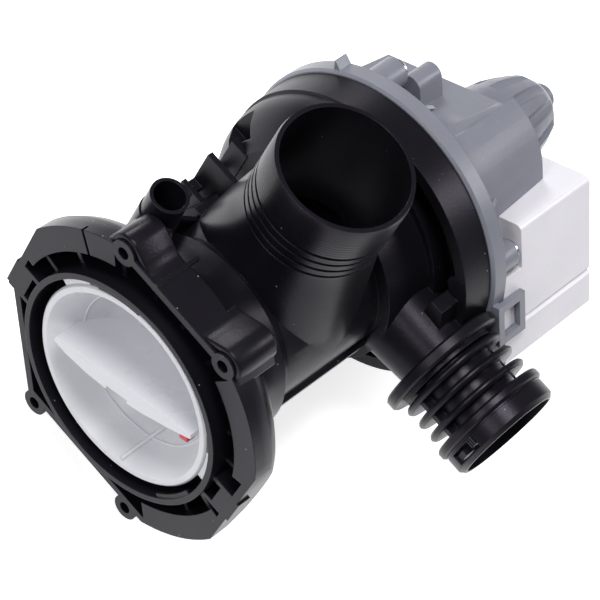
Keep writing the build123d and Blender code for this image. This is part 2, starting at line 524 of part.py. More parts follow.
def housing():
    """The whole black moulding."""
    body = bell() + disc(TUBE_R, BELL_PROFILE[-1][1] - OVER, EYE_WALL_BACK)
    body = body + block(-PARTING_R, PARTING_R, PARTING_FROM, TUBE_END, PARTING_Z - PARTING_THICK, PARTING_Z)
    body = body + channel_ribs() + pads() + volute() + inlet() + outlet() + side_fittings()
    for x in (-BOSS_X, BOSS_X):
        for z in (-BOSS_Z, BOSS_Z):
            body = body + disc(BOSS_R, BELL_FRONT, BELL_FRONT + BOSS_LENGTH, x, z)
    room = turned(((NIPPLE_R, NIPPLE_FOOT_TOP), (NIPPLE_R + HOSE_ROOM, NIPPLE_FOOT_TOP),
                   (NIPPLE_R + HOSE_ROOM, NIPPLE_TOP), (NIPPLE_R, NIPPLE_TOP)))
    body = body - Pos(NIPPLE_X, NIPPLE_Y, 0) * (Rot(90, 0, 0) * room)
    for cut in bores():
        body = body - cut
    for lug in LUG_ANGLES:
        middle = lug - TURN_TO_LOCK
        ledge = wedge(BELL_R, middle - LEDGE_SPAN / 2, middle + LEDGE_SPAN / 2, LEDGE_FRONT, LEDGE_BACK)
        body = body + (ledge & tube(MOUTH_R + OVER, LEDGE_R, LEDGE_FRONT, LEDGE_BACK))
    body = body + block(*CATCH)
    for k in range(TOOTH_COUNT):
        z = TOOTH_Z + TOOTH_PITCH * k
        body = body + block(*TOOTH_FACES, z, z + TOOTH_PITCH / 2)
    return body


# Filter: bowl cap with its blade, mark, seal and strainer
def along_blade(shape):
    """Turns a shape drawn along X to the blade's slant."""
    return around_y(shape, BLADE_ANGLE)


def filter_cap():
    """The white cap: a turned bowl with a lens-shaped grip blade, two lugs and a collar behind."""
    outside = [(0, CAP_BACK), (CAP_NOSE_R, CAP_BACK), (CAP_NOSE_R, CAP_NOSE_FRONT), (CAP_WALL_R, SEAL_END),
               (CAP_WALL_R, SEAL_GROOVE_BACK), (SEAL_GROOVE_R, SEAL_GROOVE_BACK),
               (SEAL_GROOVE_R, SEAL_GROOVE_FRONT), (CAP_WALL_R, SEAL_GROOVE_FRONT),
               (CAP_WALL_R, CAP_RIM_BACK + CAP_BEVEL), (CAP_RIM_R, CAP_RIM_BACK),
               (CAP_RIM_R, CAP_FRONT + CAP_BEVEL), (CAP_RIM_R - CAP_BEVEL, CAP_FRONT)]
    cap = turned((*outside, *BOWL_PROFILE))
    blade = slab(make_face(Polyline(*BLADE_OUTLINE, close=True)), BLADE_FRONT, CAP_BACK - OVER)
    blade = blade - block(NOTCH_FROM, NOTCH_TO, 0, NOTCH_DEPTH, NOTCH_LOW, NOTCH_HIGH)
    rib = block(FLOOR_RIB_S - FLOOR_RIB_HALF, FLOOR_RIB_S + FLOOR_RIB_HALF, FLOOR_RIB_FRONT,
                CAP_BACK - OVER, FLOOR_RIB_FROM, FLOOR_RIB_TO)
    inner = disc(CAP_RIM_R - CAP_BEVEL, 0, CAP_BACK)
    cap = cap + along_blade((blade + rib) & inner)
    for angle in LUG_ANGLES:
        lug = wedge(FAR, angle - LUG_SPAN / 2, angle + LUG_SPAN / 2, LUG_FRONT, LUG_BACK)
        cap = cap + (lug & tube(LUG_OUT, CAP_WALL_R - OVER, LUG_FRONT, LUG_BACK))
    cap = cap + tube(COLLAR_OUT, COLLAR_IN, CAP_BACK - OVER / 2, COLLAR_BACK)
    return cap - along_blade(block(*MARK))


def ring_seal(radius, middle, cord, sides):
    """A ring seal whose round section is drawn with a few flat sides."""
    points = []
    for k in range(sides):
        turn = math.radians(360.0 / sides * (k + 1 / 2))
        points.append((radius + cord * math.cos(turn), middle + cord * math.sin(turn)))
    return turned(points)


def filter_seal():
    """The ring seal in the cap's groove."""
    return ring_seal(SEAL_MID_R, SEAL_MID_Y, SEAL_CORD, SEAL_SIDES)


def strainer():
    """The cage: a front ring, twelve bars and a pierced end."""
    cage = tube(BASKET_R, BASKET_IN, BASKET_FRONT, BASKET_BACK)
    cage = cage + disc(BASKET_R, BASKET_BACK - BASKET_END, BASKET_BACK)
    for k in range(BASKET_BARS):
        angle = 360.0 / BASKET_BARS * k
        slot = block(BASKET_IN - OVER, BASKET_R + OVER, BASKET_FRONT + BASKET_RING,
                     BASKET_BACK - BASKET_END - OVER, -BASKET_SLOT, BASKET_SLOT)
        cage = cage - around_y(slot, angle)
        if k % 2:
            x, z = polar(BASKET_HOLES_RADIUS, angle)
            cage = cage - disc(BASKET_HOLE_R, BASKET_BACK - BASKET_END - OVER, BASKET_BACK + OVER, x, z)
    return cage


def mark():
    """The red clip set in the blade's front edge."""
    x0, x1, y0, y1, z0, z1 = MARK
    return along_blade(block(x0 + SEAT, x1 - SEAT, y0, y1 - SEAT, z0, z1 - SEAT))


# Motor flange with the rotor can, and what seals and carries the shaft
def in_motor_frame(shape):
    """Turns a shape from the motor's own frame into the pump's."""
    return around_y(shape, MOTOR_TURN)


def motor_flange():
    """The grey moulding: disc with plug and rim lip, rotor can, four screw bosses, gussets and loop."""
    step = PLATE_STEP_R + RUN
    front = HOUSING_BACK + SEAT
    flange = turned(((step, PLUG_FRONT), (PLUG_R, PLUG_FRONT), (PLUG_R, front),
                     (FLANGE_R - FLANGE_BEVEL, front), (FLANGE_R, front + FLANGE_BEVEL),
                     (FLANGE_R, RIM_LIP_BACK), (RIM_LIP_IN + FLANGE_BEVEL, RIM_LIP_BACK),
                     (RIM_LIP_IN, FLANGE_BACK), (CAN_R, FLANGE_BACK), (CAN_R, CAN_STEP),
                     (CAN_NECK_R, CAN_NECK_START), (CAN_NECK_R, CAN_END_WALL), (0, CAN_END_WALL),
                     (0, CAN_END), (CAN_NECK_BORE, CAN_END), (CAN_NECK_BORE, CAN_NECK_START),
                     (CAN_BORE, CAN_STEP), (CAN_BORE, PLATE_STEP_BACK), (step, PLATE_STEP_BACK)))
    for angle in GUSSET_ANGLES:
        fin = Polyline((GUSSET_IN, FLANGE_BACK - OVER), (GUSSET_OUT, FLANGE_BACK - OVER),
                       (GUSSET_OUT, RIM_LIP_BACK), (GUSSET_IN, GUSSET_BACK), close=True)
        fin = extrude(make_face(fin), GUSSET_HALF, both=True)
        flange = flange + around_y(fin, angle)
    root = FLANGE_R - OVER
    tooth = make_face(Polyline((root, -TOOTH_HALF), (TOOTH_TIP_R, 0), (root, TOOTH_HALF), close=True))
    flange = flange + around_y(slab(tooth, front + FLANGE_BEVEL, RIM_LIP_BACK), TOOTH_ANGLE)
    fittings = block(*LOOP_TAB) + (block(*LOOP_OUT) - block(*LOOP_WINDOW))
    for angle, back in zip(SCREW_ANGLES, MOTOR_BOSS_BACKS):
        fittings = fittings + disc(MOTOR_BOSS_R, FLANGE_BACK - OVER, back, *polar(SCREW_CIRCLE_R, angle))
    flange = flange + in_motor_frame(fittings)
    for angle, back in zip(SCREW_ANGLES, MOTOR_BOSS_BACKS):
        hole = disc(SCREW_HOLE_R, HOUSING_BACK - OVER, back + OVER, *polar(SCREW_CIRCLE_R, angle))
        flange = flange - in_motor_frame(hole)
    return flange


def screws():
    """Four like screws through the flange's bosses into the housing."""
    made = []
    for angle, back in zip(SCREW_ANGLES, MOTOR_BOSS_BACKS):
        x, z = polar(SCREW_CIRCLE_R, angle)
        seat = back + SEAT
        head = disc(SCREW_HEAD_R, seat, seat + SCREW_HEAD, x, z)
        head = chamfer(head.edges().sort_by(Axis.Y)[-1], SCREW_HEAD * TIP_SHARE / 2)
        depth = seat + SCREW_HEAD - SCREW_SLOT_DEPTH
        half = SCREW_SLOT / 2
        reach = SCREW_HEAD_R * TIP_SHARE
        cross = block(x - reach, x + reach, depth, seat + SCREW_HEAD + OVER, z - half, z + half)
        cross = cross + block(x - half, x + half, depth, seat + SCREW_HEAD + OVER, z - reach, z + reach)
        made.append(in_motor_frame(head - cross + disc(SCREW_R, SCREW_TIP, seat + OVER / 2, x, z)))
    return Compound(made)


def bearing_plate():
    """The plate that closes the can's mouth and holds the shaft seal and the front bush."""
    return turned(((SEAL_POCKET_R, PLUG_FRONT + SEAT), (PLATE_STEP_R, PLUG_FRONT + SEAT),
                   (PLATE_STEP_R, PLATE_STEP_BACK - SEAT), (PLATE_R, PLATE_STEP_BACK - SEAT),
                   (PLATE_R, PLATE_BACK), (BUSH_R + RUN, PLATE_BACK), (BUSH_R + RUN, SEAL_POCKET_BACK),
                   (SEAL_POCKET_R, SEAL_POCKET_BACK)))


def housing_gasket():
    """The ring gasket between housing and motor flange."""
    return ring_seal(GASKET_R, HOUSING_BACK - GASKET_GROOVE_HALF, GASKET_CORD, GASKET_SIDES)


# Rotor and impeller
def jacket():
    """The moulded sleeve that carries the magnet on the shaft."""
    inner = JACKET_R - JACKET_WALL
    return turned(((SHAFT_R + SEAT, JACKET_FRONT), (JACKET_R, JACKET_FRONT), (JACKET_R, JACKET_BACK),
                   (inner, JACKET_BACK), (inner, MAGNET_FRONT), (JACKET_HUB_R, MAGNET_FRONT),
                   (JACKET_HUB_R, JACKET_BACK), (SHAFT_R + SEAT, JACKET_BACK)))


def magnet():
    """The ring magnet in the jacket."""
    return tube(JACKET_R - JACKET_WALL - SEAT, JACKET_HUB_R + SEAT, MAGNET_FRONT + SEAT, MAGNET_BACK)


def dog():
    """The driving dog on the shaft, with its one wing."""
    wing = wedge(FAR, -DOG_SPAN / 2, DOG_SPAN / 2, DOG_FRONT, DOG_BACK)
    wing = wing & tube(DOG_REACH, DOG_R - OVER, DOG_FRONT, DOG_BACK)
    return disc(DOG_R, DOG_FRONT, DOG_BACK) + wing - disc(SHAFT_R + SEAT, DOG_FRONT - OVER, DOG_BACK + OVER)


def impeller():
    """Six straight vanes on a back shroud, and a hub whose one stop the dog meets."""
    wheel = disc(IMPELLER_HUB_R, IMPELLER_FRONT, IMPELLER_BACK) + disc(VANE_R, SHROUD_FRONT, IMPELLER_BACK)
    for k in range(VANE_COUNT):
        vane = block(0, VANE_R, VANE_FRONT, IMPELLER_BACK, -VANE_THICK / 2, VANE_THICK / 2)
        wheel = wheel + around_y(vane, 360.0 / VANE_COUNT * k + BLADE_ANGLE)
    wheel = wheel - disc(IMPELLER_CAVITY_R, IMPELLER_CAVITY_FRONT, IMPELLER_BACK + OVER)
    front = IMPELLER_CAVITY_FRONT - OVER
    stop = wedge(FAR, HALF_TURN - DOG_SPAN / 2, HALF_TURN + DOG_SPAN / 2, front, DOG_BACK)
    wheel = wheel + (stop & tube(IMPELLER_CAVITY_R + OVER, DOG_R + LOOSE, front, DOG_BACK))
    return wheel - disc(SHAFT_R + RUN, IMPELLER_FRONT - OVER, IMPELLER_BACK)


# Stator: laminated core, coil with bobbin and cover, shell and rear cap
def upright(x0, x1, y0, y1, z0, z1, rounding):
    """A block with its four edges along Z rounded."""
    shape = block(x0, x1, y0, y1, z0, z1)
    return fillet(shape.edges().filter_by(Axis.Z), rounding)


def core():
    """The C-shaped plate stack with its bore, coil window and two slots."""
    x0, x1, z0, z1 = CORE_WINDOW
    stack = slab(make_face(Polyline(*CORE_OUTLINE, close=True)), CORE_FRONT, CORE_BACK)
    stack = stack - disc(CORE_BORE_R, CORE_FRONT - OVER, CORE_BACK + OVER)
    stack = stack - block(x0, x1, CORE_FRONT - OVER, CORE_BACK + OVER, z0, z1)
    left = CORE_OUTLINE[0][0] - OVER
    for start, stop, gap in ((0, x0 + OVER, CORE_SLOT_RIGHT), (left, 0, CORE_SLOT_LEFT)):
        stack = stack - block(start, stop, CORE_FRONT - OVER, CORE_BACK + OVER, -gap / 2, gap / 2)
    return in_motor_frame(stack)


def bobbin():
    """The coil former: a square tube with two end flanges."""
    x0, x1, y0, y1 = BOBBIN_INNER
    wall = BOBBIN_WALL
    former = block(x0 - wall, x1 + wall, y0 - wall, y1 + wall, BOBBIN_LOW, BOBBIN_HIGH)
    former = former + block(*BOBBIN_FLANGE_BOX, BOBBIN_LOW, BOBBIN_LOW + BOBBIN_FLANGE)
    former = former + block(*BOBBIN_FLANGE_BOX, BOBBIN_HIGH - BOBBIN_FLANGE, BOBBIN_HIGH)
    return in_motor_frame(former - block(x0, x1, y0, y1, BOBBIN_LOW - OVER, BOBBIN_HIGH + OVER))


def winding():
    """The wound copper between the bobbin's flanges."""
    x0, x1, y0, y1 = BOBBIN_INNER
    low, high = BOBBIN_LOW + BOBBIN_FLANGE + SEAT, BOBBIN_HIGH - BOBBIN_FLANGE - SEAT
    wound = upright(*WINDING_BOX, low, high, WINDING_ROUND)
    gap = BOBBIN_WALL + SEAT
    return in_motor_frame(wound - block(x0 - gap, x1 + gap, y0 - gap, y1 + gap, low - OVER, high + OVER))


def terminal_blades(margin=0.0):
    """The two flat blades of the socket."""
    half, wide = TERMINAL_HALF + margin, TERMINAL_WIDTH / 2 + margin
    return [block(x - half, x + half, TERMINAL_Y - wide, TERMINAL_Y + wide, TERMINAL_LOW - margin,
                  TERMINAL_HIGH + margin) for x in TERMINAL_XS]


def coil_cover():
    """The milky box over the coil, open toward the rotor, with its plug socket below."""
    x0, x1, y0, y1, z0, z1 = COVER_BOX
    cover = block(*COVER_BOX)
    cover = fillet(cover.edges().filter_by(Axis.Y).sort_by(Axis.X)[2:], COVER_ROUND)
    wall = COVER_WALL
    hollow = block(x0 - OVER, x1 - wall, y0 + wall, y1 - wall, z0 + wall, z1 - wall)
    sx0, sx1, sy0, sy1, top = SOCKET_BOX
    skin = SOCKET_WALL
    hollow = hollow - block(sx0 - skin, sx1 + skin, sy0 - skin, sy1 + skin, z0, top + skin)
    recess_x, recess_y, recess_z = COVER_RECESS
    hollow = hollow - block(recess_x - COVER_LINING, x1, y0, recess_y + COVER_LINING, recess_z - COVER_LINING, z1)
    cover = cover - hollow - block(sx0, sx1, sy0, sy1, z0 - OVER, top)
    cover = cover - block(recess_x, x1 + OVER, y0 - OVER, recess_y, recess_z, z1 + OVER)
    leg_x1, leg_y0, leg_y1 = BOBBIN_INNER[1:]
    cover = cover - block(x0 - OVER, leg_x1, leg_y0, leg_y1, z1 - wall - OVER, z1 + OVER)
    groove = Polyline((x1 - VALLEY_DEPTH, VALLEY_Z), (x1 + OVER, VALLEY_Z - VALLEY_HALF),
                      (x1 + OVER, VALLEY_Z + VALLEY_HALF), close=True)
    cover = cover - slab(make_face(groove), y0 - OVER, y1 + OVER)
    for blade in terminal_blades(SEAT):
        cover = cover - blade
    return in_motor_frame(cover)


def shell():
    """The grey stator shell: a drafted wall round the core, a web in front of it and a fixing tower."""
    lobe = []
    for k in range(SHELL_LOBE_STEPS):
        x, z = polar(SHELL_LOBE_R, SHELL_LOBE_FROM * (1 - k / (SHELL_LOBE_STEPS - 1)))
        lobe.append((SHELL_LOBE_MID[0] + x, SHELL_LOBE_MID[1] + z))
    outline = make_face(Polyline(*SHELL_OUTLINE, *lobe, close=True))
    length = SHELL_BACK - SHELL_FRONT
    lead = SHELL_WALL / math.tan(math.radians(SHELL_TAPER))
    outer = extrude(Plane.XZ.offset(-SHELL_FRONT) * outline, -length, taper=SHELL_TAPER)
    inner = extrude(Plane.XZ.offset(lead - SHELL_FRONT) * outline, -length - lead, taper=SHELL_TAPER)
    web = inner & block(-FAR, FAR, SHELL_WEB_FRONT, SHELL_WEB_BACK, -FAR, FAR)
    body = outer - inner + web
    x0, x1, y0, y1, z0, z1 = TOWER
    tower = block(*TOWER) + disc(TOWER_R, y0, y1, TOWER_X, TOWER_Z)
    body = body + (tower - inner)
    body = body - disc(SHELL_CAN_HOLE, 0, FAR)
    cx0, cx1, cy0, cy1, cz0, cz1 = COVER_BOX
    body = body - block(cx0 - LOOSE, FAR, 0, FAR, -FAR, cz1 + LOOSE)
    return in_motor_frame(body)


def rear_cap():
    """The fluted cap over the can's end, with its stub."""
    cap = turned((*REAR_CAP_PROFILE, *REAR_CAP_BORE))
    flute = Pos(FLUTE_CIRCLE, FLUTE_FROM, 0) * (Rot(0, 0, FLUTE_TILT) * disc(FLUTE_R, 0, FLUTE_TO - FLUTE_FROM))
    for k in range(FLUTE_COUNT):
        cap = cap - around_y(flute, 360.0 / FLUTE_COUNT * k)
    return cap


save("pump_housing", housing())
save("filter_cap", filter_cap())
save("filter_mark", mark())
save("filter_seal", filter_seal())
save("filter_strainer", strainer())
save("housing_gasket", housing_gasket())
save("motor_flange", motor_flange())
save("motor_screws", screws())
save("bearing_plate", bearing_plate())
save("shaft_seal", tube(SEAL_POCKET_R - SEAT, SHAFT_R + RUN, SHAFT_SEAL_FRONT, SEAL_POCKET_BACK - SEAT))
save("front_bearing", tube(BUSH_R, SHAFT_R + RUN, *FRONT_BUSH))
save("rear_bearing", tube(BUSH_R, SHAFT_R + RUN, *REAR_BUSH))
save("bearing_mount", tube(MOUNT_R, BUSH_R + RUN, MOUNT_FRONT, MOUNT_BACK))
save("rotor_shaft", disc(SHAFT_R, SHAFT_FRONT, SHAFT_BACK))
save("rotor_jacket", jacket())
save("rotor_magnet", magnet())
save("thrust_washers", Compound([tube(WASHER_R, SHAFT_R + RUN, *ends) for ends in WASHERS]))
save("drive_dog", dog())
save("impeller", impeller())
save("stator_core", core())
save("coil_bobbin", bobbin())
save("coil_winding", winding())
save("coil_cover", coil_cover())
save("terminal_blades", in_motor_frame(Compound(terminal_blades())))
save("stator_shell", shell())
save("rear_cap", rear_cap())
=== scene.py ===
import math

import bpy
import numpy as np
from mathutils import Matrix, Vector


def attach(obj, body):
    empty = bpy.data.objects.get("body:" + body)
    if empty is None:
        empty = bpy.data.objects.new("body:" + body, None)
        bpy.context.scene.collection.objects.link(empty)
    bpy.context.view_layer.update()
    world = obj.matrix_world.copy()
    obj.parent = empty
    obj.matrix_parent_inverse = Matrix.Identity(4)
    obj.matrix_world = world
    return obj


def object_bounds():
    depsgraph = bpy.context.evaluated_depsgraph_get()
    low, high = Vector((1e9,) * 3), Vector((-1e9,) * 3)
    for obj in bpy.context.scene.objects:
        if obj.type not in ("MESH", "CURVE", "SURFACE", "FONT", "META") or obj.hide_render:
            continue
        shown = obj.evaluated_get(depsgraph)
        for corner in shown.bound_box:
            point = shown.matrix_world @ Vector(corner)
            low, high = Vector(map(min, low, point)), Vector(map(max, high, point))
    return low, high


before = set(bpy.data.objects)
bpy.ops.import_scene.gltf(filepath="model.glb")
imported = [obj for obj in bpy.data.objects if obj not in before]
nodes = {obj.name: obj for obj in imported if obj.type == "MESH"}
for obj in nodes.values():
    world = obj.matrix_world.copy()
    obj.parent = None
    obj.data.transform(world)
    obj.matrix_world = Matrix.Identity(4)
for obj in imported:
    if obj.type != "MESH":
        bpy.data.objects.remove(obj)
cad_low, cad_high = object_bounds()


# The stator core is a stack of stamped electrical steel plates, pressed and locked together into two legs
# and a yoke. It is the first piece on the bench, and its last plate stays in view round the rear cap.
PLATE_STEEL, PLATE_DARK = "#5C5F66", "#3E4046"
PLATE_MM, PLATE_STEP_MM = 1.0, 0.12
FLECK_MM, ROW_WAVER, ROW_STRENGTH, ROW_GLOSS = 1.1111, 0.15, 0.6, 0.08
MOTOR_TURN = math.radians(32)
MERGE_MM, SHARP_ANGLE = 0.004, math.radians(28)


def linear(colour):
    """An sRGB hex colour as linear RGBA: a channel over 12.92 when dark, otherwise a power of 2.4."""
    channels = np.array([int(colour[k:k + 2], 16) / 255 for k in (1, 3, 5)])
    dark = channels / 12.92
    bright = ((channels + 0.055) / 1.055) ** 2.4
    return (*np.where(channels <= 0.04045, dark, bright).tolist(), 1.0)


def add(tree, kind, settings=None, links=None):
    """Adds a node: sets each named property or socket, then links each named socket to an output."""
    node = tree.nodes.new(kind)
    for key, value in (settings or {}).items():
        if isinstance(key, str) and hasattr(node, key) and key not in node.inputs:
            setattr(node, key, value)
        else:
            node.inputs[key].default_value = value
    for key, output in (links or {}).items():
        tree.links.new(node.inputs[key], output)
    return node


def new_material(name):
    """An empty node material."""
    material = bpy.data.materials.new(name)
    material.use_nodes = True
    material.node_tree.nodes.clear()
    return material


def finish_material(tree, settings, tone, gloss, bump):
    """Adds the shader with its tone, gloss and bump, and links it to the material's output."""
    skin = add(tree, "ShaderNodeBsdfPrincipled", settings,
               {"Base Color": tone.outputs[2], "Roughness": gloss.outputs["Result"],
                "Normal": bump.outputs["Normal"]})
    skin.name = "skin"
    add(tree, "ShaderNodeOutputMaterial", links={"Surface": skin.outputs[0]})


def smooth_by_angle():
    """A node group that merges the corners of a solid's loose triangles, and shades it smooth across each
    edge that turns by less than the sharp angle."""
    group = bpy.data.node_groups.new("smooth by angle", "GeometryNodeTree")
    for way in ("INPUT", "OUTPUT"):
        group.interface.new_socket("Geometry", in_out=way, socket_type="NodeSocketGeometry")
    start = add(group, "NodeGroupInput")
    merged = add(group, "GeometryNodeMergeByDistance", {"Distance": MERGE_MM / 1000},
                 {"Geometry": start.outputs[0]})
    faces = add(group, "GeometryNodeSetShadeSmooth", {"domain": "FACE", "Shade Smooth": True},
                {"Geometry": merged.outputs[0]})
    angle = add(group, "GeometryNodeInputMeshEdgeAngle")
    gentle = add(group, "FunctionNodeCompare",
                 {"data_type": "FLOAT", "operation": "LESS_THAN", 1: SHARP_ANGLE},
                 {0: angle.outputs["Unsigned Angle"]})
    edges = add(group, "GeometryNodeSetShadeSmooth", {"domain": "EDGE"},
                {"Geometry": faces.outputs[0], "Shade Smooth": gentle.outputs[0]})
    add(group, "NodeGroupOutput", links={0: edges.outputs[0]})
    return group


smooth_group = smooth_by_angle()


def dress(node, material):
    """Gives a carried-over solid its material, and smooth shading across all but its sharp edges."""
    solid = nodes[node]
    solid.data.materials.clear()
    solid.data.materials.append(material)
    modifier = solid.modifiers.new("smooth by angle", "NODES")
    modifier.node_group = smooth_group


def band_scale(pitch_mm):
    """A wave node's scale for bands at a pitch: a tenth of pi over the pitch in metres, because at scale 1
    a band is a tenth of pi long."""
    return math.pi / 10 / (pitch_mm / 1000)


def striped_metal(name, colour, second, roughness, direction, pitch_mm, depth_mm):
    """Metal in rows: a sine along one direction of the motor's own turned axes sets the row's tone and its
    rounded height, and fine noise breaks the rows up and varies their gloss."""
    material = new_material(name)
    tree = material.node_tree
    coords = add(tree, "ShaderNodeTexCoord")
    turned = add(tree, "ShaderNodeMapping", {"Rotation": (0.0, MOTOR_TURN, 0.0)},
                 {"Vector": coords.outputs["Object"]})
    rows = add(tree, "ShaderNodeTexWave", {"bands_direction": direction, "Scale": band_scale(pitch_mm),
                                           "Distortion": ROW_WAVER, "Detail": 1.0},
               {"Vector": turned.outputs[0]})
    fine = add(tree, "ShaderNodeTexNoise", {"Scale": 1000 / FLECK_MM, "Detail": 3.0},
               {"Vector": coords.outputs["Object"]})
    both = add(tree, "ShaderNodeMath", {"operation": "MULTIPLY"},
               {0: rows.outputs["Fac"], 1: fine.outputs["Fac"]})
    tone = add(tree, "ShaderNodeMix", {"data_type": "RGBA", 6: linear(second), 7: linear(colour)},
               {0: both.outputs[0]})
    gloss = add(tree, "ShaderNodeMapRange",
                {"To Min": roughness - ROW_GLOSS, "To Max": roughness + ROW_GLOSS},
                {"Value": fine.outputs["Fac"]})
    bump = add(tree, "ShaderNodeBump", {"Strength": ROW_STRENGTH, "Distance": depth_mm / 1000},
               {"Height": rows.outputs["Fac"]})
    finish_material(tree, {"Metallic": 1.0}, tone, gloss, bump)
    return material


# Blued electrical steel: dark, bluish and dull, with the fine rows of the plates' edges. The plates are
# drawn twice as thick as they are, because rows of 0.5 mm are too fine to show.
plate_steel = striped_metal("stamped electrical steel", PLATE_STEEL, PLATE_DARK, roughness=0.45,
                            direction="Y", pitch_mm=PLATE_MM, depth_mm=PLATE_STEP_MM)
dress("stator_core", plate_steel)


# The coil is enamelled copper wire, wound in layers on a white moulded polyamide bobbin that slides over
# one leg of the core. A milky cover of the same polyamide snaps over both and keeps the wet air out.
WIRE_COPPER, WIRE_SHADE, WIRE_MM, WIRE_STEP_MM = "#B56B3B", "#7A3D1B", 0.7, 0.15
BOBBIN_WHITE, BOBBIN_SHADE = "#DADBDF", "#CFD0D5"
COVER_MILK, COVER_SHADE = "#DCDADF", "#D4D2D8"
POLYAMIDE_IOR, POLYPROPYLENE_IOR = 1.53, 1.49
EDGE_MM, GLOW_MM = 0.35, 2.0
NOISE_LOW, NOISE_HIGH, GLOSSIER = 0.3, 0.7, 0.06


def blotched(tree, coords, colour, second, roughness, duller, blotch_mm, blotch_roughness=0.5):
    """Noise with blotches of a real size mixes two near tones, and takes the roughness a little below and
    above its middle value. Nearly all of the noise lies between its low and high values."""
    noise = add(tree, "ShaderNodeTexNoise",
                {"Scale": 1000 / blotch_mm, "Detail": 4.0, "Roughness": blotch_roughness},
                {"Vector": coords.outputs["Object"]})
    tone = add(tree, "ShaderNodeMix", {"data_type": "RGBA", 6: linear(colour), 7: linear(second)},
               {0: noise.outputs["Fac"]})
    gloss = add(tree, "ShaderNodeMapRange", {"From Min": NOISE_LOW, "From Max": NOISE_HIGH,
                                             "To Min": roughness - GLOSSIER, "To Max": roughness + duller},
                {"Value": noise.outputs["Fac"]})
    return noise, tone, gloss


def moulded(name, colour, second, roughness, cloud_mm, grain_mm=0.5, grain_height=0.08,
            ior=POLYPROPYLENE_IOR, subsurface=0.0, specular=0.5):
    """Moulded plastic or rubber: slow clouds of two near tones and of gloss, a fine grain as bump, whose
    noise has cells of two grains, and edges rounded in the shading."""
    material = new_material(name)
    tree = material.node_tree
    coords = add(tree, "ShaderNodeTexCoord")
    coords.name = "coords"
    _, tone, gloss = blotched(tree, coords, colour, second, roughness, duller=0.07, blotch_mm=cloud_mm,
                              blotch_roughness=0.6)
    grain = add(tree, "ShaderNodeTexNoise", {"Scale": 1000 / (2 * grain_mm), "Detail": 2.0},
                {"Vector": coords.outputs["Object"]})
    edge = add(tree, "ShaderNodeBevel", {"samples": 6, "Radius": EDGE_MM / 1000})
    bump = add(tree, "ShaderNodeBump", {"Strength": grain_height, "Distance": grain_mm / 1000},
               {"Height": grain.outputs["Fac"], "Normal": edge.outputs["Normal"]})
    finish_material(tree, {"IOR": ior, "Specular IOR Level": specular, "Subsurface Weight": subsurface,
                           "Subsurface Scale": GLOW_MM / 1000}, tone, gloss, bump)
    return material


# Enamelled copper wire: warm, glossy rows across the coil, drawn twice as thick as the wire so they show. The
# darker copper in the grooves between the rows is painted shade.
copper_wire = striped_metal("wound enamelled copper wire", WIRE_COPPER, WIRE_SHADE, roughness=0.28,
                            direction="Z", pitch_mm=WIRE_MM, depth_mm=WIRE_STEP_MM)
dress("coil_winding", copper_wire)

# Glass-free polyamide, natural white: clean and even, with a satin skin and a fine grain.
bobbin_plastic = moulded("moulded polyamide white", BOBBIN_WHITE, BOBBIN_SHADE, roughness=0.40, cloud_mm=30,
                         ior=POLYAMIDE_IOR)
dress("coil_bobbin", bobbin_plastic)

# The same polyamide in the cover's thin walls: milky, a little warm, and lit through at its edges.
cover_plastic = moulded("moulded polyamide milky", COVER_MILK, COVER_SHADE, roughness=0.36, cloud_mm=24,
                        grain_mm=0.6, ior=POLYAMIDE_IOR, subsurface=0.12)
dress("coil_cover", cover_plastic)


# Two terminal blades are stamped from tinned brass strip, 0.8 mm thick, and pressed through the roof of the
# cover's socket. A plug of the washer's loom goes over them there.
BLADE_TIN, BLADE_WORN = "#C9C6BA", "#A39E8C"


def plain_metal(name, colour, second, roughness, scratch_mm, bump_height=0.08):
    """Bare metal: fine noise mixes two near tones, varies the gloss and lifts the surface."""
    material = new_material(name)
    tree = material.node_tree
    coords = add(tree, "ShaderNodeTexCoord")
    fine, tone, gloss = blotched(tree, coords, colour, second, roughness, duller=0.08, blotch_mm=scratch_mm)
    bump = add(tree, "ShaderNodeBump", {"Strength": bump_height, "Distance": scratch_mm / 1000},
               {"Height": fine.outputs["Fac"]})
    finish_material(tree, {"Metallic": 1.0}, tone, gloss, bump)
    return material


# Tinned brass: pale, with a yellowish tone where the tin is thin, and a soft gloss.
tinned_brass = plain_metal("stamped tinned brass", BLADE_TIN, BLADE_WORN, roughness=0.3, scratch_mm=1.0)
dress("terminal_blades", tinned_brass)


# The rotor is a sintered ferrite magnet inside a moulded black jacket, on a ground steel shaft between two
# steel washers. A white dog at the shaft's front end drives the impeller after a free turn.
FERRITE, FERRITE_DARK = "#3C3C3F", "#2D2D30"
JACKET_BLACK, JACKET_GREY = "#17171A", "#1E1E21"
SHAFT_STEEL, SHAFT_SHADE = "#C6C7C9", "#A9ABAE"
DOG_WHITE, DOG_SHADE = "#D6D8DC", "#CCCED3"

# Sintered ferrite: charcoal and grainy, with a faint metal sheen.
ferrite = plain_metal("sintered ferrite", FERRITE, FERRITE_DARK, roughness=0.55, scratch_mm=0.6,
                      bump_height=0.2)
dress("rotor_magnet", ferrite)

# Moulded glass-filled polyamide: black and matt, with a coarse grain.
jacket_plastic = moulded("moulded glass-filled polyamide black", JACKET_BLACK, JACKET_GREY, roughness=0.45,
                         cloud_mm=20, grain_height=0.2, ior=POLYAMIDE_IOR)
dress("rotor_jacket", jacket_plastic)

# Ground stainless steel: bright, nearly a mirror, with very fine scratches.
ground_steel = plain_metal("ground stainless steel", SHAFT_STEEL, SHAFT_SHADE, roughness=0.18, scratch_mm=0.8,
                           bump_height=0.05)
dress("rotor_shaft", ground_steel)
dress("thrust_washers", ground_steel)

# Moulded acetal: white and slippery, with a soft gloss.
acetal = moulded("moulded acetal white", DOG_WHITE, DOG_SHADE, roughness=0.32, cloud_mm=20, ior=1.48)
dress("drive_dog", acetal)


